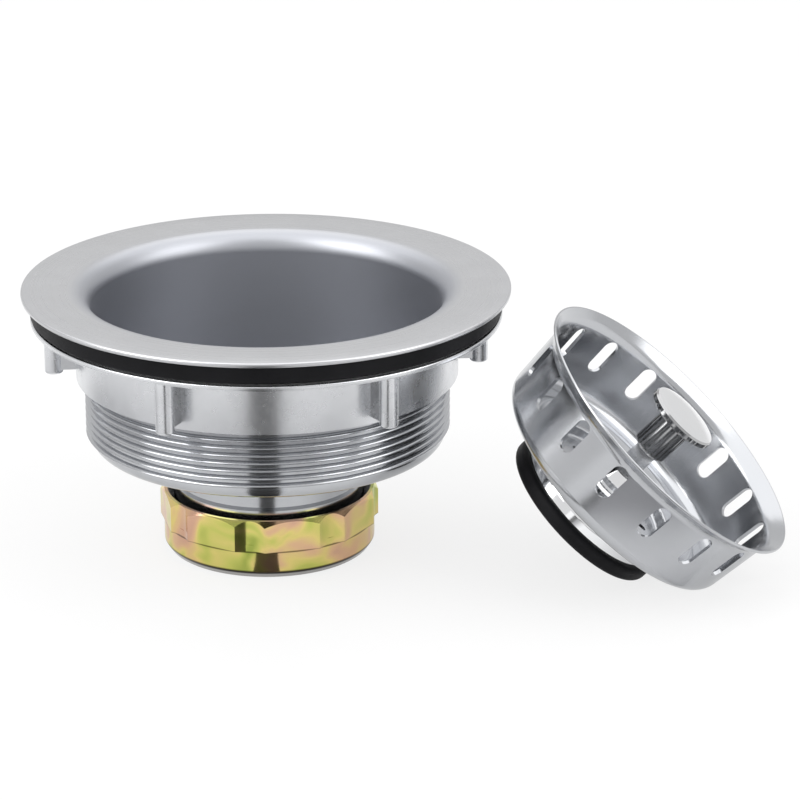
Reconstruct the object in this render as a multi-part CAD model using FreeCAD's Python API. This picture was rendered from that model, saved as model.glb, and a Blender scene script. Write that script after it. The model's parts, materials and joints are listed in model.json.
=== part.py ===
import FreeCAD, Part
import math
import os
from FreeCAD import Placement, Rotation, Vector

# Basket strainer waste for a kitchen sink, with its basket lifted out and laid beside it.
# Millimetres, +Z up. The origin is on the waste's axis, in the plane that it stands on.

# Clearances
thread_clear = 0.15
ring_clear = 0.4
post_clear = 0.2
lift_gap = 0.3
tail_clear = 0.1

# Coupling nut on the outlet
nut_lip = 2.0
nut_height = 14.3
nut_band_height = 6.7
nut_wall = 2.45
nut_wing = 0.9
nut_sides = 8
nut_flat_angle = 29.4
nut_flat_azimuth = 14.3
nut_flute_depth = 0.75
nut_chamfer_width = 1.0
nut_chamfer_drop = 1.4
nut_mouth = 1.6
nut_foot_height = 1.7
nut_foot_width = 1.1
nut_turns = 1.0
neck_pitch = 2.2
tail_washer_t = 2.0
tail_grip = 0.2

# Strainer body, from the outlet's end up
neck_length = 19.6
neck_wall = 2.25
neck_thread_depth = 0.65
neck_thread_length = 10.0
neck_lead = 0.8
neck_fillet = 1.5
outlet_r = 19.5
outlet_round = 1.2
body_depth = 37.9
thread_r = 42.9
land_round = 3.0
floor_t = 1.7
floor_rise = 0.6
barrel_wall = 1.9
bowl_round = 3.5
roll_r = 4.8
flange_r = 57.0
flange_t = 1.1
flange_fall = 0.4
flange_round = 0.4

# Rings and locknut under the flange
seat_width = 11.7
gasket_t = 4.5
gasket_round = 0.6
friction_inset = 1.4
friction_t = 0.4
locknut_flange_t = 1.2
locknut_height = 15.0
hub_wall = 1.75
hub_fillet = 1.5
hub_lead = 0.6
lug_count = 6
lug_azimuth = 35.0
lug_reach = 7.2
lug_post_r = 2.15
lug_web_t = 2.8
lug_short = 0.7
lug_web_step = 1.0

# Stopper under the basket, from its lower face up
rubber_r = 20.9
rubber_t = 3.8
rubber_round = 1.2
cap_r = 19.4
cap_skirt = 3.3
cap_sheet = 0.8
cap_round = 1.3
screw_recess_r = 6.0
screw_recess = 2.4
stopper_washer_r = 5.4
stopper_washer_t = 1.0
screw_head_r = 3.2
screw_head_t = 1.2
screw_r = 1.5
screw_length = 9.0

# Basket
sheet = 0.8
floor_step = 2.8
step_r = 18.4
step_round = 1.2
basket_height = 20.8
basket_foot_r = 32.8
basket_mouth_r = 34.4
basket_corner = 3.4
rim_r = 37.0
lip_height = 3.0
lip_round = 2.6
bead_r = 24.6
bead_height = 1.0
bead_half = 1.5
post_hole_r = 4.6
collar_height = 1.2
slot_count = 16
slot_length = 9.1
slot_width = 3.9
slot_below_rim = 8.4
drain_count = 10
drain_r = 11.4
drain_length = 4.4
drain_width = 1.9
basket_travel = 7.5

# Spring clip on the basket floor
clip_sheet = 0.6
clip_foot_r = 6.8
clip_waist_r = 4.2
clip_lobe_r = 5.2
clip_height = 5.2
clip_slit = 1.7

# Knob and its post
post_r = 2.8
stem_r = 4.25
stem_length = 10.3
stem_chamfer = 0.6
knob_r = 8.7
knob_edge = 1.8
knob_dome = 1.3

# How the basket lies
basket_gap = 10.0
basket_y = -18.0
basket_azimuth = -9.3

# Levels and radii worked out from the sizes above
neck_end = nut_lip + tail_washer_t + nut_turns * neck_pitch + lift_gap
body_under = neck_end + neck_length
flange_top = body_under + body_depth
flange_under = flange_top - flange_t
bowl_floor = body_under + floor_t
gasket_under = flange_under - gasket_t
friction_under = gasket_under - friction_t
locknut_under = friction_under - locknut_height

bowl_r = thread_r - barrel_wall
neck_r = outlet_r + neck_wall
neck_thread_r = neck_r + neck_thread_depth
nut_lip_r = outlet_r + tail_clear
tail_washer_hole_r = outlet_r - tail_grip
nut_band_r = neck_thread_r + thread_clear + nut_wall
nut_corner_r = nut_band_r + nut_wing
nut_top_r = nut_corner_r - nut_chamfer_width

gasket_r = thread_r + ring_clear + seat_width
friction_r = gasket_r - friction_inset
locknut_r = gasket_r
hub_r = thread_r + thread_clear + hub_wall
lug_r = hub_r + lug_reach

cap_top = rubber_t + cap_skirt
step_under = cap_top + lift_gap
step_top = step_under + sheet
basket_under = step_under + floor_step
rim_top = basket_under + basket_height
clip_under = step_top + collar_height
clip_top = clip_under + clip_sheet + clip_height
stem_under = clip_top + basket_travel + lift_gap
knob_under = stem_under + stem_length
washer_top = screw_recess
screw_top = washer_top - stopper_washer_t - screw_head_t + screw_length


def outline(points):
    """Closed wire in the XZ plane through (r, z) corners, each with an optional rounding radius."""
    corners = [Vector(p[0], 0, p[1]) for p in points]
    radii = [p[2] if len(p) > 2 else 0 for p in points]
    starts, ends, arcs = [], [], []
    for i, corner in enumerate(corners):
        back = (corners[i - 1] - corner).normalize()
        ahead = (corners[(i + 1) % len(corners)] - corner).normalize()
        if not radii[i]:
            starts.append(corner)
            ends.append(corner)
            arcs.append(None)
            continue
        half = back.getAngle(ahead) / 2
        reach = radii[i] / math.tan(half)
        middle = (back + ahead).normalize() * (radii[i] / math.sin(half) - radii[i])
        starts.append(corner + back * reach)
        ends.append(corner + ahead * reach)
        arcs.append(Part.Arc(starts[i], corner + middle, ends[i]).toShape())
    edges = []
    for i, arc in enumerate(arcs):
        if arc:
            edges.append(arc)
        following = starts[(i + 1) % len(starts)]
        if (following - ends[i]).Length > 1e-6:
            edges.append(Part.LineSegment(ends[i], following).toShape())
    return Part.Wire(edges)


def turned(points):
    """Solid of revolution about Z from an outline."""
    return Part.Face(outline(points)).revolve(Vector(0, 0, 0), Vector(0, 0, 1), 360)


def ring(inner, outer, low, high, rounding=0):
    """Flat ring, with rounded outer edges if asked."""
    return turned([(inner, low), (outer, low, rounding), (outer, high, rounding), (inner, high)])


def around(shape, count, first=0.0):
    """Copies of a shape, evenly spaced about Z."""
    copies = []
    for i in range(count):
        copy = shape.copy()
        copy.rotate(Vector(0, 0, 0), Vector(0, 0, 1), first + i * 360 / count)
        copies.append(copy)
    return copies


def polar(radius, degrees, z=0.0):
    """Point at a radius and an azimuth, counted from +X."""
    angle = math.radians(degrees)
    return Vector(radius * math.cos(angle), radius * math.sin(angle), z)


def obround(length, width):
    """Face of a slot with round ends, lying along X, centred on the origin."""
    r, half = width / 2, (length - width) / 2
    wire = Part.Wire([
        Part.LineSegment(Vector(-half, -r, 0), Vector(half, -r, 0)).toShape(),
        Part.Arc(Vector(half, -r, 0), Vector(half + r, 0, 0), Vector(half, r, 0)).toShape(),
        Part.LineSegment(Vector(half, r, 0), Vector(-half, r, 0)).toShape(),
        Part.Arc(Vector(-half, r, 0), Vector(-half - r, 0, 0), Vector(-half, -r, 0)).toShape(),
    ])
    return Part.Face(wire)


# Strainer body: flange, roll, bowl, threaded barrel and outlet neck in one piece
def strainer_body():
    neck_thread_top = neck_end + neck_thread_length
    return turned([
        (flange_r, flange_top, flange_round),
        (flange_r, flange_under, flange_round),
        (thread_r, flange_under),
        (thread_r, body_under, land_round),
        (neck_r, body_under, neck_fillet),
        (neck_r, neck_thread_top),
        (neck_thread_r, neck_thread_top - (neck_thread_r - neck_r)),
        (neck_thread_r, neck_end + neck_lead),
        (neck_thread_r - neck_lead, neck_end),
        (outlet_r, neck_end),
        (outlet_r, bowl_floor, outlet_round),
        (bowl_r, bowl_floor + floor_rise, bowl_round),
        (bowl_r, flange_top - flange_fall, roll_r),
    ])


def rubber_gasket():
    return ring(thread_r + ring_clear, gasket_r, gasket_under, flange_under, gasket_round)


def friction_washer():
    return ring(thread_r + ring_clear, friction_r, friction_under, gasket_under)


# Locknut: flanged hub with round posts on webs for the spanner
def locknut():
    bore = thread_r + thread_clear
    flange_low = friction_under - locknut_flange_t
    nut = turned([
        (bore, friction_under),
        (locknut_r, friction_under, locknut_flange_t / 3),
        (locknut_r, flange_low, locknut_flange_t / 3),
        (hub_r, flange_low, hub_fillet),
        (hub_r, locknut_under),
        (bore + hub_lead, locknut_under),
        (bore, locknut_under + hub_lead),
    ])
    post_low = locknut_under + lug_short
    post = Part.makeCylinder(lug_post_r, flange_low - post_low, Vector(lug_r - lug_post_r, 0, post_low))
    post = post.makeFillet(lug_post_r / 4, [e for e in post.Edges if e.CenterOfMass.z < post_low + 0.01])
    web_low = post_low + lug_web_step
    web_in = (bore + hub_r) / 2
    web = Part.makeBox(
        lug_r - lug_post_r - web_in, lug_web_t, flange_low - web_low, Vector(web_in, -lug_web_t / 2, web_low)
    )
    return nut.fuse(around(post.fuse(web), lug_count, lug_azimuth - 90)).removeSplitter()


# Coupling nut: flats and shallow flutes over a plain band, chamfered at the mouth and foot
def nut_plan():
    half_flat, pitch = nut_flat_angle / 2, 360 / nut_sides
    half_flute = pitch / 2 - half_flat
    flute_r = nut_corner_r * math.cos(math.radians(half_flute)) - nut_flute_depth
    edges = []
    for i in range(nut_sides):
        middle = nut_flat_azimuth - 90 + i * pitch
        start, end = polar(nut_corner_r, middle - half_flat), polar(nut_corner_r, middle + half_flat)
        following = polar(nut_corner_r, middle + pitch - half_flat)
        edges.append(Part.LineSegment(start, end).toShape())
        edges.append(Part.Arc(end, polar(flute_r, middle + pitch / 2), following).toShape())
    return Part.Face(Part.Wire(edges))


def coupling_nut():
    bore = neck_thread_r + thread_clear
    wings = nut_plan().extrude(Vector(0, 0, nut_height - nut_band_height))
    wings.translate(Vector(0, 0, nut_band_height))
    slope = (nut_corner_r - nut_top_r) / nut_chamfer_drop
    wide = nut_corner_r + slope * nut_height
    wings = wings.common(turned([
        (0, 0),
        (wide, 0),
        (wide, nut_height - (wide - nut_top_r) / slope),
        (nut_top_r, nut_height),
        (0, nut_height),
    ]))
    band = turned([
        (0, 0),
        (nut_band_r - nut_foot_width, 0, nut_foot_width / 2),
        (nut_band_r, nut_foot_height, nut_foot_width / 2),
        (nut_band_r, nut_band_height + nut_foot_height),
        (0, nut_band_height + nut_foot_height),
    ])
    hollow = turned([
        (0, -1),
        (nut_lip_r, -1),
        (nut_lip_r, nut_lip),
        (bore, nut_lip),
        (bore, nut_height - nut_mouth),
        (bore + nut_mouth, nut_height),
        (bore + nut_mouth, nut_height + 1),
        (0, nut_height + 1),
    ])
    return band.fuse(wings).cut(hollow).removeSplitter()


def tailpiece_washer():
    return ring(tail_washer_hole_r, neck_thread_r - ring_clear, nut_lip, nut_lip + tail_washer_t)


# Basket, standing on its stopper: a pressed cup with a stepped floor, a flared lip and slots
def strainer_basket():
    half_bead = bead_half + sheet / 2
    floor_top = basket_under + sheet
    lip_low = rim_top - lip_height
    cup = turned([
        (post_hole_r, step_under),
        (step_r, step_under, step_round),
        (step_r, basket_under, step_round / 2),
        (bead_r - half_bead + sheet, basket_under),
        (bead_r, basket_under + bead_height, bead_height),
        (bead_r + half_bead - sheet, basket_under),
        (basket_foot_r, basket_under, basket_corner),
        (basket_mouth_r, lip_low, lip_round),
        (rim_r, rim_top - sheet, sheet / 3),
        (rim_r, rim_top, sheet / 3),
        (basket_mouth_r - sheet, lip_low + sheet / 2, lip_round + sheet),
        (basket_foot_r - sheet, floor_top, basket_corner - sheet),
        (bead_r + half_bead, floor_top),
        (bead_r, floor_top + bead_height, bead_height),
        (bead_r - half_bead, floor_top),
        (step_r - sheet, floor_top, step_round / 2),
        (step_r - sheet, step_top, step_round - sheet / 2),
        (post_hole_r + sheet, step_top),
        (post_hole_r + sheet, step_top + collar_height, sheet / 3),
        (post_hole_r, step_top + collar_height, sheet / 3),
    ])
    slot = obround(slot_length, slot_width).extrude(Vector(0, 0, rim_r))
    slot.rotate(Vector(0, 0, 0), Vector(0, 1, 0), 90)
    slot.translate(Vector(bead_r, 0, rim_top - slot_below_rim))
    drain = obround(drain_length, drain_width).extrude(Vector(0, 0, 3 * sheet))
    drain.translate(Vector(drain_r, 0, step_under - sheet))
    half_step = 180 / slot_count
    return cup.cut(around(slot, slot_count, half_step) + around(drain, drain_count))


# Spring clip: a collet of four leaves that grips the post above the basket floor
def spring_clip():
    bore = post_r + post_clear
    waist = clip_under + clip_sheet
    sleeve = turned([
        (bore + clip_sheet, clip_under),
        (clip_foot_r, clip_under),
        (clip_foot_r, waist),
        (clip_waist_r + clip_sheet, waist, clip_sheet),
        (clip_lobe_r, (waist + clip_top) / 2, clip_sheet),
        (bore + clip_sheet, clip_top),
        (bore, clip_top),
        (clip_lobe_r - clip_sheet, (waist + clip_top) / 2, clip_sheet / 2),
        (bore + clip_sheet, waist),
    ])
    corner = Vector(-clip_foot_r, -clip_slit / 2, waist + clip_sheet)
    slit = Part.makeBox(2 * clip_foot_r, clip_slit, clip_top, corner)
    return sleeve.cut(around(slit, 4, 45)[:2])


# Knob, reeded stem and post, with a tapped hole for the stopper's screw
def knob_stem():
    edge_top = knob_under + knob_edge
    knob = turned([
        (0, washer_top),
        (post_r, washer_top),
        (post_r, stem_under),
        (stem_r - stem_chamfer, stem_under),
        (stem_r, stem_under + stem_chamfer),
        (stem_r, knob_under, stem_chamfer),
        (knob_r, knob_under, knob_edge / 5),
        (knob_r, edge_top, knob_edge / 3),
        (0, edge_top),
    ])
    dome_r = ((knob_r - knob_edge / 3) ** 2 + knob_dome ** 2) / (2 * knob_dome)
    ball = Part.makeSphere(dome_r, Vector(0, 0, edge_top + knob_dome - dome_r))
    dome = ball.common(Part.makeCylinder(knob_r, 2 * knob_dome, Vector(0, 0, edge_top)))
    tapped = Part.makeCylinder(screw_r, screw_top - washer_top, Vector(0, 0, washer_top))
    return knob.fuse(dome).cut(tapped).removeSplitter()


def stopper_cap():
    hole = post_r + post_clear / 4
    return turned([
        (hole, cap_top - cap_sheet),
        (cap_r - cap_sheet, cap_top - cap_sheet, cap_round - cap_sheet / 2),
        (cap_r - cap_sheet, rubber_t),
        (cap_r, rubber_t),
        (cap_r, cap_top, cap_round),
        (hole, cap_top),
    ])


def stopper_rubber():
    return turned([
        (screw_recess_r, 0),
        (rubber_r, 0, rubber_round),
        (rubber_r, rubber_t, rubber_round),
        (cap_r - cap_sheet, rubber_t),
        (cap_r - cap_sheet, cap_top - cap_sheet, cap_round - cap_sheet / 2),
        (post_r, cap_top - cap_sheet),
        (post_r, screw_recess),
        (screw_recess_r, screw_recess),
    ])


def stopper_washer():
    return ring(screw_r, stopper_washer_r, washer_top - stopper_washer_t, washer_top)


def stopper_screw():
    head_top = washer_top - stopper_washer_t
    return turned([
        (0, head_top - screw_head_t),
        (screw_head_r, head_top - screw_head_t, screw_head_t / 2),
        (screw_head_r, head_top),
        (screw_r, head_top),
        (screw_r, screw_top),
        (0, screw_top),
    ])


# The basket lies on its stopper's lower edge and on the corner of its wall
def basket_place():
    stopper_edge = (rubber_r - rubber_round, rubber_round)
    foot_lean = math.atan2(basket_mouth_r - basket_foot_r, basket_height - lip_height)
    foot_out = basket_corner * math.tan(math.pi / 4 - foot_lean / 2)
    wall_corner = (basket_foot_r - foot_out, basket_under + basket_corner)
    across, up = wall_corner[0] - stopper_edge[0], wall_corner[1] - stopper_edge[1]
    lean = math.atan2(up, across) - math.asin((basket_corner - rubber_round) / math.hypot(across, up))
    base_z = rubber_round + stopper_edge[0] * math.sin(lean) - stopper_edge[1] * math.cos(lean)
    rim_left = rim_top * math.sin(lean) - rim_r * math.cos(lean)
    base_x = flange_r + basket_gap - rim_left
    tip = Rotation(Vector(0, 1, 0), math.degrees(lean))
    swing = Rotation(Vector(0, 0, 1), basket_azimuth)
    return Placement(Vector(base_x, basket_y, base_z), swing.multiply(tip))


upright = [strainer_body, rubber_gasket, friction_washer, locknut, coupling_nut, tailpiece_washer]
laid = [strainer_basket, spring_clip, knob_stem, stopper_cap, stopper_rubber, stopper_washer, stopper_screw]

os.makedirs("parts", exist_ok=True)
place = basket_place()
for make in upright + laid:
    shape = make()
    if make in laid:
        shape = shape.transformed(place.toMatrix())
    solid = shape.Solids[0]
    state = "valid" if shape.isValid() else "not valid"
    print(make.__name__, len(shape.Solids), "solid", round(solid.Volume), "mm3", state)
    solid.exportStep("parts/" + make.__name__ + ".step")
axis = place.Rotation.multVec(Vector(0, 0, 1))
print("basket axis", axis, "base", place.Base)
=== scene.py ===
import json
import math

import bpy
from mathutils import Matrix, Vector


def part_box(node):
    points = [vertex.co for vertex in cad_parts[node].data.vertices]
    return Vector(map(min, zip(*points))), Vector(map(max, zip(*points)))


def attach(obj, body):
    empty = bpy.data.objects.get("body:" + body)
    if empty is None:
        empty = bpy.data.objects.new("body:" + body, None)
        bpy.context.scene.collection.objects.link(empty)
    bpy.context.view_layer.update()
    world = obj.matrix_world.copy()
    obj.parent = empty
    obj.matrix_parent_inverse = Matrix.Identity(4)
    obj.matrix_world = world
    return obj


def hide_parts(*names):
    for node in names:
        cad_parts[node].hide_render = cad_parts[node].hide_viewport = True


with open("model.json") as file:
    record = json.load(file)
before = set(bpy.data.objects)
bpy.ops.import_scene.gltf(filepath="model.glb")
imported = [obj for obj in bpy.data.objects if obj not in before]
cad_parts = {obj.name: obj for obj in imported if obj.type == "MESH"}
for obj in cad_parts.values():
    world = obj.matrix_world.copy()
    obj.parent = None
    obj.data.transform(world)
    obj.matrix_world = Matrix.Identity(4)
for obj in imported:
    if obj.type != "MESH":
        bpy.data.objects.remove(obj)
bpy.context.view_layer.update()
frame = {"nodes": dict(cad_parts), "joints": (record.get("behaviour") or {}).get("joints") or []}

bl_info = {
    "name": "Basket strainer waste",
    "version": (1, 0, 0),
    "blender": (4, 5, 0),
    "location": "View3D > Sidebar > Strainer",
    "description": "Dresses a kitchen sink waste and the basket that lies beside it",
    "category": "Add Mesh",
}

MM = 0.001
MERGE_DISTANCE = 1e-6
BLACK, WHITE = (0, 0, 0), (1, 1, 1)

# Waste, in millimetres
ROLLED_TOP = 62.8                # the outside is rolled steel from here down
OUTLET_TOP = 27.7                # so is the neck, inside and out
OUTSIDE_MARGIN = 4.0
THREAD_LOW, THREAD_HIGH = 28.9, 60.2
THREAD_HALF_WIDTH = 0.64
CREST_HALF_WIDTH, CREST_FALL = 0.17, 0.1
ROOT_SINK = 0.15                 # how deep the thread's root lies in the barrel
THREAD_STEPS = 96                # faces in one turn of the thread

# Basket, standing upright, in millimetres
WASHER_HEIGHT = 1.9              # middle of the stopper's washer
REED_BANDS = ((23.6, 32.8), (33.6, 34.6))  # stem and edge of the knob
CROWN_EDGE = 34.9
FACES_PER_REED = 4

# Finishes
BRUSH_SCALE, BRUSH_DEPTH, DENT_DEPTH = 6000.0, 0.00002, 0.0004
BOWL_SHADE_BLEND = (0.0432, 0.0462)    # radii between which the bowl's painted shade and roughness turn to the flange
BOWL_ROUGHER = 0.12
FILM = [(0.28, (0.36, 0.42, 0.09)), (0.40, (0.58, 0.58, 0.15)), (0.50, (0.76, 0.62, 0.22)),
        (0.60, (0.74, 0.48, 0.28)), (0.72, (0.66, 0.40, 0.28))]
# Painted light at the nut's foot: a grey painted reflection of the floor, with a dark painted shadow line
# above it.
FOOT_PAINTED_REFLECTION, FOOT_PAINTED_SHADOW_LINE = (0.42, 0.41, 0.40), (0.03, 0.025, 0.02)
# Painted shadow: a dark band round the nut under its ledge.
LEDGE_PAINTED_SHADOW = (0.3, 0.3, 0.3)
NUT_SCALE = (0.0, 0.01)          # heights that the nut's bands are given in
# Painted shade: the nut's mouth is coloured near black inside these radii and above these heights.
NUT_MOUTH = (0.0240, 0.0243)     # radii inside which the nut's mouth gets painted shade
NUT_MOUTH_HEIGHT = (0.006, 0.007)
NUT_MOUTH_PAINTED_SHADE = (0.03, 0.028, 0.025, 1)

# Stage, in metres and degrees
FLOOR_SEEN, FLOOR_MIRRORED = 0.8, 0.45
SKY_STRENGTH = 0.45
LAMPS = (                        # name, place, size and watts
    ("key", (-0.9, -0.5, 0.8), 1.0, 9),
    ("fill", (1.0, -0.4, 0.8), 1.0, 6),
    ("top", (0.0, 0.2, 1.1), 1.8, 10),
)
LAMP_AIM = Vector((0.03, 0, 0.04))
GAP_NEAR, GAP_FAR, GAP_HALF_ANGLE, GAP_HEIGHT = 0.027, 1.2, 8, 0.0004
CARD_NEAR, CARD_FAR, CARD_HEIGHT = 0.102, 0.180, 0.0002
CARD_SWEEP, CARD_START, CARD_MIDDLE, CARD_REACH, CARD_FADE = 192, -23, -119, 96, 25
CARD_STEPS = 32
CAMERA_LIFT, CAMERA_DISTANCE, CAMERA_TARGET = 19.8, 0.8, Vector((0.0311, 0, 0.0352))
CAMERA_LENS, CAMERA_SENSOR = 152.8, 36


def joint_axis(name):
    """Direction of one of the frame's joints."""
    return Vector(next(j["axis"] for j in frame["joints"] if j["name"] == name)).normalized()


BASKET_AXIS = joint_axis("basket_slide")
WASHER_MIDDLE = (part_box("stopper_washer")[0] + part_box("stopper_washer")[1]) / 2


def length(name, description, default, least):
    """A length that a user may change, given in millimetres and kept in metres."""
    return bpy.props.FloatProperty(
        name=name, description=description, default=default * MM, min=least * MM, precision=5, unit="LENGTH")


def count(name, description, default, least):
    return bpy.props.IntProperty(name=name, description=description, default=default, min=least)


def tone(name, description, default):
    return bpy.props.FloatVectorProperty(
        name=name, description=description, default=default, min=0.0, max=1.0, size=3, subtype="COLOR")


class WasteSizes(bpy.types.PropertyGroup):
    thread_pitch: length("Thread pitch", "Rise of the barrel's thread in one turn", 1.8143, 0.5)
    thread_depth: length("Thread depth", "Depth of the barrel's thread, crest to root", 0.9, 0.2)
    barrel_radius: length("Barrel radius", "Radius over the thread's crests", 42.9, 20)
    round_steps: count("Steps round", "Faces round a turned surface", 144, 24)
    reeds: count("Reeds", "Reeds round the knob's stem", 22, 8)
    reed_depth: length("Reed depth", "Depth of the flutes between the reeds", 0.35, 0.05)


class WasteColours(bpy.types.PropertyGroup):
    steel: tone("Satin steel", "Flange", (0.58, 0.585, 0.60))
    # The bowl colour is the flange steel darkened: painted shade inside the bowl.
    bowl: tone("Bowl steel", "Inside of the bowl", (0.415, 0.425, 0.455))
    rolled: tone("Rolled steel", "Barrel, thread and neck", (0.51, 0.52, 0.54))
    polished: tone("Polished steel", "Basket, stopper's washer and screw", (0.50, 0.51, 0.53))
    zinc: tone("Cast zinc", "Locknut", (0.72, 0.73, 0.75))
    chrome: tone("Bright plate", "Knob, spring clip and stopper cap", (0.86, 0.865, 0.875))
    rubber: tone("Rubber", "Gasket, tailpiece washer and stopper", (0.006, 0.006, 0.007))
    fibre: tone("Fibre", "Friction washer", (0.25, 0.25, 0.25))


# Material nodes

def material(name):
    mat = bpy.data.materials.new(name)
    mat.use_nodes = True
    return mat, mat.node_tree, mat.node_tree.nodes["Principled BSDF"]


def node(tree, kind, **values):
    made = tree.nodes.new(kind)
    for key, value in values.items():
        setattr(made, key, value)
    return made


def feed(tree, value, socket):
    """Links a socket to another one, or sets it to a plain value."""
    if isinstance(value, bpy.types.NodeSocket):
        tree.links.new(value, socket)
    else:
        socket.default_value = value


def arithmetic(tree, operation, *values):
    made = node(tree, "ShaderNodeMath", operation=operation)
    for value, socket in zip(values, made.inputs):
        feed(tree, value, socket)
    return made.outputs[0]


def mix_colour(tree, share, first, second, blend="MIX"):
    """The first colour where the share is 0, the second where it is 1."""
    made = node(tree, "ShaderNodeMix", data_type="RGBA", blend_type=blend)
    factor, a, b = made.inputs[0], made.inputs[6], made.inputs[7]
    for value, socket in ((share, factor), (first, a), (second, b)):
        feed(tree, value, socket)
    return made.outputs[2]


def mix_shader(tree, share, first, second, output):
    made = node(tree, "ShaderNodeMixShader")
    for value, socket in zip((share, first, second), made.inputs):
        tree.links.new(value, socket)
    tree.links.new(made.outputs[0], tree.nodes[output].inputs["Surface"])


def object_space(tree, turn=None):
    """Object coordinates, turned into a piece's own axes where it lies tilted."""
    coords = node(tree, "ShaderNodeTexCoord").outputs["Object"]
    if turn is None:
        return coords
    mapping = node(tree, "ShaderNodeMapping")
    mapping.inputs["Rotation"].default_value = turn.to_3x3().to_euler()
    mapping.inputs["Location"].default_value = turn.to_translation()
    tree.links.new(coords, mapping.inputs["Vector"])
    return mapping.outputs["Vector"]


def axes(tree, vector):
    made = node(tree, "ShaderNodeSeparateXYZ")
    tree.links.new(vector, made.inputs["Vector"])
    return made.outputs


def radius_of(tree, vector):
    """Distance of a point from the Z axis."""
    split = axes(tree, vector)
    flat = node(tree, "ShaderNodeCombineXYZ")
    tree.links.new(split["X"], flat.inputs["X"])
    tree.links.new(split["Y"], flat.inputs["Y"])
    made = node(tree, "ShaderNodeVectorMath", operation="LENGTH")
    tree.links.new(flat.outputs["Vector"], made.inputs[0])
    return made.outputs["Value"]


def turned_coords(tree, vector):
    """Radius and height of a point, for marks that run round the Z axis."""
    made = node(tree, "ShaderNodeCombineXYZ")
    tree.links.new(radius_of(tree, vector), made.inputs["X"])
    tree.links.new(axes(tree, vector)["Z"], made.inputs["Y"])
    return made.outputs["Vector"]


def noise(tree, vector, scale, detail=4.0, roughness=0.55, distortion=0.0):
    made = node(tree, "ShaderNodeTexNoise")
    made.inputs["Scale"].default_value = scale
    made.inputs["Detail"].default_value = detail
    made.inputs["Roughness"].default_value = roughness
    made.inputs["Distortion"].default_value = distortion
    tree.links.new(vector, made.inputs["Vector"])
    return made.outputs["Fac"]


def spread(tree, value, low, high, source=(0.3, 0.7)):
    """Maps the source range to low and high, clamped at both ends."""
    made = node(tree, "ShaderNodeMapRange")
    made.inputs["From Min"].default_value, made.inputs["From Max"].default_value = source
    made.inputs["To Min"].default_value, made.inputs["To Max"].default_value = low, high
    tree.links.new(value, made.inputs["Value"])
    return made.outputs["Result"]


def ramp(tree, value, stops):
    made = node(tree, "ShaderNodeValToRGB")
    bar = made.color_ramp
    while len(bar.elements) < len(stops):
        bar.elements.new(0.5)
    for element, (position, colour) in zip(bar.elements, stops):
        element.position = position
        element.color = (*colour, 1)
    tree.links.new(value, made.inputs["Fac"])
    return made.outputs["Color"]


def bump(tree, shader, height, strength, distance):
    made = node(tree, "ShaderNodeBump")
    made.inputs["Strength"].default_value = strength
    made.inputs["Distance"].default_value = distance
    tree.links.new(height, made.inputs["Height"])
    tree.links.new(made.outputs["Normal"], shader.inputs["Normal"])


def shade(colour, factor):
    return tuple(c * factor for c in colour)


# Finishes

def metal(name, colour, rough, mottle, turn=None, brushed=0.0, patch=120.0, dent=0.0):
    """Bare or plated metal with a mottled tone and gloss, and brush marks round its axis or shallow dents."""
    mat, tree, shader = material(name)
    shader.inputs["Metallic"].default_value = 1.0
    space = object_space(tree, turn)
    stops = [(0.3, shade(colour, 1 - mottle)), (0.7, colour)]
    tree.links.new(ramp(tree, noise(tree, space, patch), stops), shader.inputs["Base Color"])
    if brushed:
        grain = noise(tree, turned_coords(tree, space), BRUSH_SCALE, 2.0)
        bump(tree, shader, grain, brushed, BRUSH_DEPTH)
    else:
        grain = noise(tree, space, patch * 3)
        if dent:
            bump(tree, shader, noise(tree, space, patch * 2.5), dent, DENT_DEPTH)
    tree.links.new(spread(tree, grain, *rough), shader.inputs["Roughness"])
    return mat


def satin(name, flange, bowl):
    """Satin steel, rougher inside the bowl than on the flange, and darker there with painted shade."""
    mat = metal(name, flange, (0.26, 0.34), 0.05, brushed=0.05)
    tree = mat.node_tree
    sockets = tree.nodes["Principled BSDF"].inputs
    # Painted shade: inside the bowl the colour turns to the darker bowl tone.
    bowl_shade_share = spread(tree, radius_of(tree, object_space(tree)), 1.0, 0.0, BOWL_SHADE_BLEND)
    colour = mix_colour(tree, bowl_shade_share, sockets["Base Color"].links[0].from_socket, (*bowl, 1))
    rough = arithmetic(tree, "MULTIPLY_ADD", bowl_shade_share, BOWL_ROUGHER, sockets["Roughness"].links[0].from_socket)
    tree.links.new(colour, sockets["Base Color"])
    tree.links.new(rough, sockets["Roughness"])
    return mat


def rubber(name, colour):
    mat, tree, shader = material(name)
    space = object_space(tree)
    stops = [(0.3, colour), (0.75, shade(colour, 1.8))]
    tree.links.new(ramp(tree, noise(tree, space, 90.0), stops), shader.inputs["Base Color"])
    shader.inputs["Specular IOR Level"].default_value = 0.12
    grain = noise(tree, space, 2500.0, 2.0)
    tree.links.new(spread(tree, grain, 0.42, 0.6), shader.inputs["Roughness"])
    bump(tree, shader, grain, 0.15, 0.0001)
    return mat


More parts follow.
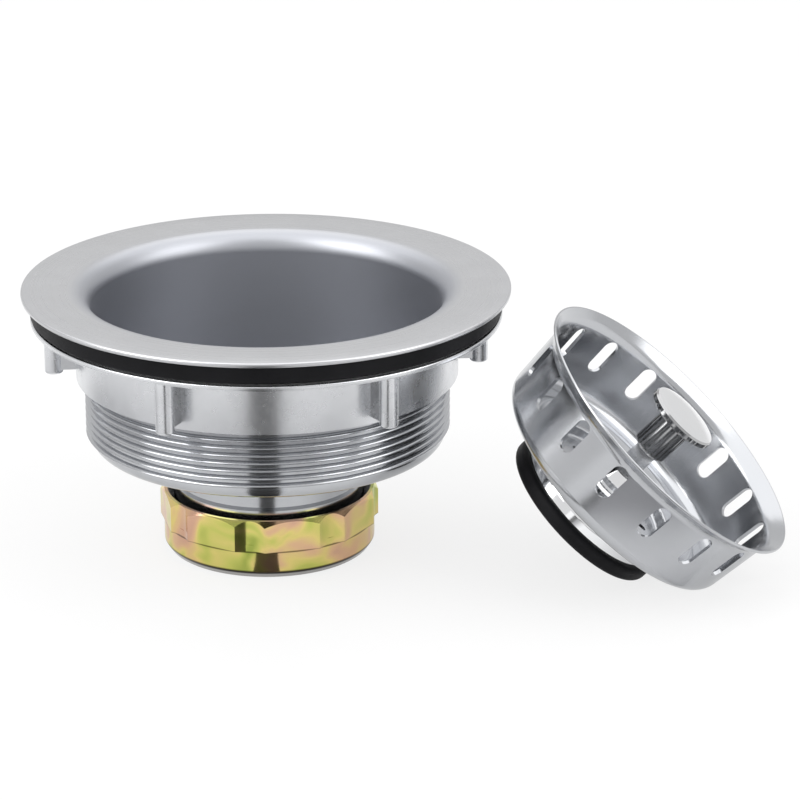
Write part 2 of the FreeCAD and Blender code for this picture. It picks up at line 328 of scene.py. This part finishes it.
def passivated(name):
    """Yellow passivated zinc: green and pink drifts in its film, with painted light at the foot (a grey floor
    reflection and a dark shadow line), a painted shadow under the ledge and painted shade in the mouth.
    """
    mat, tree, shader = material(name)
    shader.inputs["Metallic"].default_value = 1.0
    space = object_space(tree)
    up = axes(tree, space)["Z"]
    height = spread(tree, up, 0.0, 1.0, NUT_SCALE)
    film = ramp(tree, noise(tree, space, 85.0, 2.0, 0.45, 0.8), FILM)
    # Painted shadow in a dark band under the ledge.
    ledge = ramp(tree, height, [(0.63, WHITE), (0.65, LEDGE_PAINTED_SHADOW), (0.67, LEDGE_PAINTED_SHADOW), (0.69, WHITE)])
    lined = mix_colour(tree, 1.0, film, ledge, "MULTIPLY")
    # Painted grey floor reflection on the foot, and a painted shadow line just above it.
    foot = ramp(tree, height, [(0.10, FOOT_PAINTED_REFLECTION), (0.13, FOOT_PAINTED_SHADOW_LINE)])
    above = ramp(tree, height, [(0.17, BLACK), (0.21, WHITE)])
    # Painted shade: the mouth of the nut is coloured near black.
    mouth = spread(tree, radius_of(tree, space), 1.0, 0.0, NUT_MOUTH)
    inside = arithmetic(tree, "MULTIPLY", mouth, spread(tree, up, 0.0, 1.0, NUT_MOUTH_HEIGHT))
    colour = mix_colour(tree, inside, mix_colour(tree, above, foot, lined), NUT_MOUTH_PAINTED_SHADE)
    tree.links.new(colour, shader.inputs["Base Color"])
    ripple = noise(tree, space, 200.0)
    tree.links.new(spread(tree, ripple, 0.09, 0.16), shader.inputs["Roughness"])
    bump(tree, shader, ripple, 0.06, 0.0003)
    return mat


def soft_card(name, colour):
    """A sector of the floor that fades from a colour in its middle to near white at its edges."""
    mat, tree, shader = material(name)
    space = object_space(tree, Matrix.Rotation(-math.radians(CARD_MIDDLE), 4, "Z"))
    split = axes(tree, space)
    aside = arithmetic(tree, "ABSOLUTE", arithmetic(tree, "ARCTAN2", split["Y"], split["X"]))
    fade = (math.radians(CARD_REACH - CARD_FADE), math.radians(CARD_REACH))
    ends = spread(tree, aside, 1.0, 0.0, fade)
    across = spread(tree, radius_of(tree, space), 0.0, 1.0, (CARD_NEAR, CARD_FAR))
    edges = ramp(tree, across, [(0, BLACK), (0.25, WHITE), (0.75, WHITE), (1, BLACK)])
    share = arithmetic(tree, "MULTIPLY", ends, edges)
    stops = [(0, (0.95, 0.95, 0.95)), (1, colour)]
    tree.links.new(ramp(tree, share, stops), shader.inputs["Base Color"])
    return mat


def seen_by(tree, *rays):
    """1 for the named kinds of ray, and 0 for the others."""
    path = node(tree, "ShaderNodeLightPath")
    seen = path.outputs[rays[0]]
    for ray in rays[1:]:
        seen = arithmetic(tree, "MAXIMUM", seen, path.outputs[ray])
    return seen


# Modelling helpers

def clear_selection():
    if bpy.context.mode != "OBJECT":
        bpy.ops.object.mode_set(mode="OBJECT")
    bpy.ops.object.select_all(action="DESELECT")


def edit_all():
    """Enters edit mode on the active piece with all of it selected."""
    bpy.ops.object.mode_set(mode="EDIT")
    bpy.ops.mesh.select_all(action="SELECT")


def rounded(points):
    """Corners in millimetres, each with an optional rounding, as the points of a line in metres."""
    corners = [Vector((p[0], 0, p[1])) * MM for p in points]
    line = []
    for i, point in enumerate(points):
        if len(point) < 3:
            line.append(corners[i])
            continue
        back = (corners[i - 1] - corners[i]).normalized()
        ahead = (corners[(i + 1) % len(corners)] - corners[i]).normalized()
        half = back.angle(ahead) / 2
        radius = point[2] * MM
        middle = corners[i] + (back + ahead).normalized() * (radius / math.sin(half))
        first = corners[i] + back * (radius / math.tan(half)) - middle
        last = corners[i] + ahead * (radius / math.tan(half)) - middle
        steps = max(3, round(point[2] * 2.5))
        line += [middle + first.slerp(last, k / steps) * radius for k in range(steps + 1)]
    return line


def draw_profile(name, points, closed):
    """A line drawn from point to point in the XZ plane by extruding one vertex."""
    clear_selection()
    bpy.ops.mesh.primitive_plane_add(size=MM)
    piece = bpy.context.object
    piece.name = piece.data.name = name
    bpy.ops.object.mode_set(mode="EDIT")
    bpy.ops.mesh.select_mode(type="VERT")
    bpy.ops.mesh.merge(type="CENTER")
    line = rounded(points)
    bpy.ops.transform.translate(value=line[0])
    for before, after in zip(line, line[1:]):
        bpy.ops.mesh.extrude_region_move(TRANSFORM_OT_translate={"value": after - before})
    bpy.ops.object.mode_set(mode="OBJECT")
    if closed:
        for i, vertex in enumerate(piece.data.vertices):
            vertex.select = i in (0, len(line) - 1)
        bpy.ops.object.mode_set(mode="EDIT")
        bpy.ops.mesh.edge_face_add()
        bpy.ops.object.mode_set(mode="OBJECT")
    return piece


def spin_round(piece, steps):
    """Turns a profile into a closed piece round the Z axis."""
    edit_all()
    bpy.ops.mesh.spin(steps=steps, angle=math.tau, center=(0, 0, 0), axis=(0, 0, 1))
    bpy.ops.mesh.select_all(action="SELECT")
    bpy.ops.mesh.remove_doubles(threshold=MERGE_DISTANCE)
    bpy.ops.mesh.normals_make_consistent(inside=False)
    bpy.ops.object.mode_set(mode="OBJECT")


def smooth(piece, degrees=32):
    clear_selection()
    piece.select_set(True)
    bpy.context.view_layer.objects.active = piece
    bpy.ops.object.shade_smooth_by_angle(angle=math.radians(degrees))


def stand_for(piece, body, slot, mat, *nodes):
    """Gives a finished piece its material, the body it rides on and the nodes it stands for."""
    piece.data.materials.clear()
    piece.data.materials.append(mat)
    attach(piece, body)
    if nodes:
        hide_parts(*nodes)


def finish_node(name, mat):
    """A node whose shape is right keeps it and takes a finish."""
    slots = frame["nodes"][name].material_slots
    if not slots:
        frame["nodes"][name].data.materials.append(mat)
    for slot in slots:
        slot.material = mat


def laid_matrix():
    """From the standing basket to where it lies."""
    turn = Vector((0, 0, 1)).rotation_difference(BASKET_AXIS).to_matrix()
    base = WASHER_MIDDLE - BASKET_AXIS * (WASHER_HEIGHT * MM)
    return Matrix.Translation(base) @ turn.to_4x4()


class WASTE_OT_body(bpy.types.Operator):
    """Flange, bowl, barrel with its rolled thread, and outlet neck"""
    bl_idname = "waste.body"
    bl_label = "Strainer body"

    def execute(self, context):
        sizes, colours = context.scene.waste_sizes, context.scene.waste_colours
        crest = sizes.barrel_radius / MM
        root = crest - sizes.thread_depth / MM
        satin_steel = satin("satin_steel", colours.steel, colours.bowl)
        rolled = metal("rolled_steel", colours.rolled, (0.13, 0.19), 0.08, brushed=0.05)
        shell = self.shell(crest, root, sizes.round_steps)
        stand_for(shell, "waste", "strainer_body", satin_steel, "strainer_body")
        shell.data.materials.append(rolled)
        for face in shell.data.polygons:
            out = math.hypot(face.center.x, face.center.y) / MM
            below = face.center.z < ROLLED_TOP * MM and face.normal.z < 0.5
            faces_out = face.normal.xy.dot(face.center.xy) > -1e-9
            outside = out > root - OUTSIDE_MARGIN and below and faces_out
            if outside or face.center.z < OUTLET_TOP * MM:
                face.material_index = 1
        thread = self.thread(context, crest, root, sizes.thread_pitch / MM)
        stand_for(thread, "waste", "strainer_body", rolled)
        return {"FINISHED"}

    def shell(self, crest, root, steps):
        shell = draw_profile("strainer_shell", [
            (57.0, 64.0, 0.4), (57.0, 62.9, 0.4),                              # rim of the flange
            (crest + 0.38, 62.9), (crest, 62.0), (crest, 61.4), (root, 60.5),  # collar above the thread
            (root, 26.1, 3.0), (21.75, 26.1, 1.5),                             # barrel and its shoulder
            (21.75, 16.5), (22.4, 15.85), (22.4, 7.3), (21.6, 6.5),            # neck and its thread zone
            (19.5, 6.5), (19.5, 27.8, 1.2),                                    # outlet
            (41.0, 28.4, 3.5), (41.0, 63.6, 4.8),                              # bowl and its rolled mouth
        ], closed=True)
        spin_round(shell, steps)
        smooth(shell)
        return shell

    def thread(self, context, crest, root, pitch):
        """One ridge, screwed up the barrel, with its ends at the back."""
        low, half, tip = THREAD_LOW, THREAD_HALF_WIDTH, CREST_HALF_WIDTH
        thread = draw_profile("barrel_thread", [
            (root - ROOT_SINK, low - half), (root, low - half), (crest - CREST_FALL, low - tip), (crest, low),
            (crest - CREST_FALL, low + tip), (root, low + half), (root - ROOT_SINK, low + half),
        ], closed=True)
        turns = (THREAD_HIGH - THREAD_LOW) / pitch
        screw = thread.modifiers.new("Thread", "SCREW")
        screw.axis = "Z"
        screw.angle = math.tau * turns
        screw.screw_offset = (THREAD_HIGH - THREAD_LOW) * MM
        screw.steps = screw.render_steps = int(THREAD_STEPS * turns)
        screw.use_smooth_shade = True
        clear_selection()
        thread.select_set(True)
        context.view_layer.objects.active = thread
        bpy.ops.object.modifier_apply(modifier="Thread")
        edit_all()
        bpy.ops.mesh.fill_holes(sides=12)
        bpy.ops.mesh.normals_make_consistent(inside=False)
        bpy.ops.object.mode_set(mode="OBJECT")
        thread.rotation_euler.z = math.pi / 2
        bpy.ops.object.transform_apply(location=False, rotation=True, scale=False)
        smooth(thread, 40)
        return thread


class WASTE_OT_rings(bpy.types.Operator):
    """Gasket, friction washer, tailpiece washer and the stopper's rubber"""
    bl_idname = "waste.rings"
    bl_label = "Rings"

    def execute(self, context):
        colours = context.scene.waste_colours
        black = rubber("black_rubber", colours.rubber)
        for name in ("rubber_gasket", "tailpiece_washer", "stopper_rubber"):
            finish_node(name, black)
        finish_node("friction_washer", rubber("grey_fibre", colours.fibre))
        return {"FINISHED"}


class WASTE_OT_nuts(bpy.types.Operator):
    """Locknut and coupling nut"""
    bl_idname = "waste.nuts"
    bl_label = "Nuts"

    def execute(self, context):
        colours = context.scene.waste_colours
        finish_node("locknut", metal("cast_zinc", colours.zinc, (0.22, 0.30), 0.16, patch=70.0, dent=0.02))
        finish_node("coupling_nut", passivated("yellow_zinc"))
        return {"FINISHED"}


class WASTE_OT_basket(bpy.types.Operator):
    """Slotted basket, its spring clip, its knob and the metal of its stopper"""
    bl_idname = "waste.basket"
    bl_label = "Basket"

    def execute(self, context):
        sizes, colours = context.scene.waste_sizes, context.scene.waste_colours
        turn = laid_matrix().inverted()
        polished = metal("polished_steel", colours.polished, (0.17, 0.20), 0.05, turn, patch=40.0)
        chrome = metal("bright_plate", colours.chrome, (0.06, 0.10), 0.03, turn)
        for name in ("strainer_basket", "stopper_washer", "stopper_screw"):
            finish_node(name, polished)
        for name in ("spring_clip", "stopper_cap"):
            finish_node(name, chrome)

        knob = self.knob(sizes)
        crown_plate = metal("crown_plate", colours.chrome, (0.16, 0.22), 0.06, turn, patch=60.0)
        stand_for(knob, "waste", "knob_stem", crown_plate, "knob_stem")
        # Painted shade: the reeded stem and toothed edge take the bright plate at half its colour.
        knob.data.materials.append(metal("reeded_plate_painted_shade", shade(colours.chrome, 0.5), (0.10, 0.16), 0.1, turn))
        edge = laid_matrix() @ Vector((0, 0, CROWN_EDGE * MM))
        for face in knob.data.polygons:
            face.material_index = int((face.center - edge).dot(BASKET_AXIS) < 0)
        return {"FINISHED"}

    def knob(self, sizes):
        knob = draw_profile("knob", [
            (0, 2.4), (2.8, 2.4), (2.8, 23.0),                       # post
            (3.65, 23.0), (4.25, 23.6), (4.25, 32.8), (4.6, 33.3),   # reeded stem
            (8.4, 33.3), (8.7, 33.6), (8.7, 34.6), (8.4, 35.1),      # toothed edge
            (6.6, 35.62), (4.4, 36.05), (2.2, 36.3), (0, 36.38),     # crown
        ], closed=False)
        spin_round(knob, FACES_PER_REED * sizes.reeds)
        for low, high in REED_BANDS:
            self.flute(knob, low * MM, high * MM, sizes)
        edit_all()
        bpy.ops.mesh.normals_make_consistent(inside=False)
        bpy.ops.object.mode_set(mode="OBJECT")
        knob.matrix_world = laid_matrix()
        bpy.ops.object.transform_apply(location=True, rotation=True, scale=True)
        smooth(knob, 28)
        return knob

    def flute(self, knob, low, high, sizes):
        """Presses every second pair of faces round a band inwards."""
        step = math.tau / sizes.reeds
        bpy.ops.object.mode_set(mode="EDIT")
        bpy.ops.mesh.select_mode(type="FACE")
        bpy.ops.mesh.select_all(action="DESELECT")
        bpy.ops.object.mode_set(mode="OBJECT")
        for face in knob.data.polygons:
            turn = math.atan2(face.center.y, face.center.x) % step
            face.select = low < face.center.z < high and turn < step / 2
        bpy.ops.object.mode_set(mode="EDIT")
        bpy.ops.mesh.extrude_region_shrink_fatten(TRANSFORM_OT_shrink_fatten={"value": -sizes.reed_depth})
        bpy.ops.object.mode_set(mode="OBJECT")


class WASTE_OT_stage(bpy.types.Operator):
    """Floor, studio light and camera"""
    bl_idname = "waste.stage"
    bl_label = "Stage"

    def execute(self, context):
        context.scene.view_settings.view_transform = "Standard"
        self.floor(context)
        self.world(context.scene)
        self.lamps(context)
        self.cards(context)
        self.camera(context)
        return {"FINISHED"}

    def floor(self, context):
        """A pale floor that looks near white and keeps the shadow."""
        clear_selection()
        bpy.ops.mesh.primitive_plane_add(size=6)
        floor = context.object
        floor.name = "floor"
        mat, tree, shader = material("pale_floor")
        shader.inputs["Base Color"].default_value = (0.9, 0.9, 0.9, 1)
        shader.inputs["Roughness"].default_value = 0.9
        reflected = seen_by(tree, "Is Transmission Ray", "Is Glossy Ray")
        mirrored = arithmetic(tree, "MULTIPLY", reflected, FLOOR_MIRRORED)
        share = arithmetic(tree, "MULTIPLY_ADD", seen_by(tree, "Is Camera Ray"), FLOOR_SEEN, mirrored)
        white = node(tree, "ShaderNodeEmission")
        mix_shader(tree, share, shader.outputs[0], white.outputs[0], "Material Output")
        floor.data.materials.append(mat)

    def world(self, scene):
        world = bpy.data.worlds.new("studio")
        scene.world = world
        world.use_nodes = True
        tree = world.node_tree
        sky = tree.nodes["Background"]
        sky.inputs["Color"].default_value = (1, 1, 1, 1)
        sky.inputs["Strength"].default_value = SKY_STRENGTH
        back = node(tree, "ShaderNodeBackground")
        seen = seen_by(tree, "Is Camera Ray", "Is Glossy Ray", "Is Transmission Ray")
        mix_shader(tree, seen, sky.outputs[0], back.outputs[0], "World Output")

    def lamps(self, context):
        for name, place, size, watts in LAMPS:
            bpy.ops.object.light_add(type="AREA", location=place)
            lamp = context.object
            lamp.name = name
            lamp.data.size = size
            lamp.data.energy = watts
            lamp.rotation_euler = (LAMP_AIM - Vector(place)).to_track_quat("-Z", "Y").to_euler()

    def cards(self, context):
        """A dark wedge and a soft grey sector on the floor, which only reflections show."""
        bpy.ops.mesh.primitive_plane_add(size=1)
        gap = context.object
        gap.name = "dark_gap"
        slope = math.tan(math.radians(GAP_HALF_ANGLE))
        for vertex in gap.data.vertices:
            reach = GAP_NEAR if vertex.co.y > 0 else GAP_FAR
            vertex.co = (math.copysign(reach * slope, vertex.co.x), -reach, GAP_HEIGHT)
        dark, _, shader = material("dark_gap")
        shader.inputs["Base Color"].default_value = (0.01, 0.01, 0.01, 1)
        gap.data.materials.append(dark)

        height = CARD_HEIGHT / MM
        card = draw_profile("grey_card", [(CARD_NEAR / MM, height), (CARD_FAR / MM, height)], closed=False)
        edit_all()
        bpy.ops.mesh.spin(steps=CARD_STEPS, angle=math.radians(CARD_SWEEP), center=(0, 0, 0), axis=(0, 0, 1))
        bpy.ops.object.mode_set(mode="OBJECT")
        card.data.transform(Matrix.Rotation(math.radians(CARD_START), 4, "Z"))
        card.data.materials.append(soft_card("grey_card", (0.30, 0.30, 0.31)))
        for piece in (gap, card):
            piece.visible_camera = piece.visible_diffuse = False
            piece.visible_shadow = piece.visible_transmission = False

    def camera(self, context):
        lift = math.radians(CAMERA_LIFT)
        place = CAMERA_TARGET + CAMERA_DISTANCE * Vector((0, -math.cos(lift), math.sin(lift)))
        bpy.ops.object.camera_add(location=place)
        camera = context.object
        camera.name = "camera"
        camera.rotation_euler = (CAMERA_TARGET - place).to_track_quat("-Z", "Y").to_euler()
        camera.data.lens = CAMERA_LENS
        camera.data.sensor_width = CAMERA_SENSOR
        context.scene.camera = camera


class WASTE_PT_panel(bpy.types.Panel):
    bl_idname = "WASTE_PT_panel"
    bl_label = "Basket strainer waste"
    bl_space_type = "VIEW_3D"
    bl_region_type = "UI"
    bl_category = "Strainer"

    def draw(self, context):
        for group in (context.scene.waste_sizes, context.scene.waste_colours):
            column = self.layout.column()
            for name in group.bl_rna.properties.keys():
                if name not in ("rna_type", "name"):
                    column.prop(group, name)
        for operator in OPERATORS:
            self.layout.operator(operator.bl_idname)


OPERATORS = (WASTE_OT_body, WASTE_OT_rings, WASTE_OT_nuts, WASTE_OT_basket, WASTE_OT_stage)
CLASSES = (WasteSizes, WasteColours, *OPERATORS, WASTE_PT_panel)


def register():
    for made in CLASSES:
        bpy.utils.register_class(made)
    bpy.types.Scene.waste_sizes = bpy.props.PointerProperty(type=WasteSizes)
    bpy.types.Scene.waste_colours = bpy.props.PointerProperty(type=WasteColours)


def unregister():
    del bpy.types.Scene.waste_colours
    del bpy.types.Scene.waste_sizes
    for made in reversed(CLASSES):
        bpy.utils.unregister_class(made)


def main():
    register()
    bpy.ops.waste.body()
    bpy.ops.waste.rings()
    bpy.ops.waste.nuts()
    bpy.ops.waste.basket()
    bpy.ops.waste.stage()


if __name__ == "__main__":
    main()
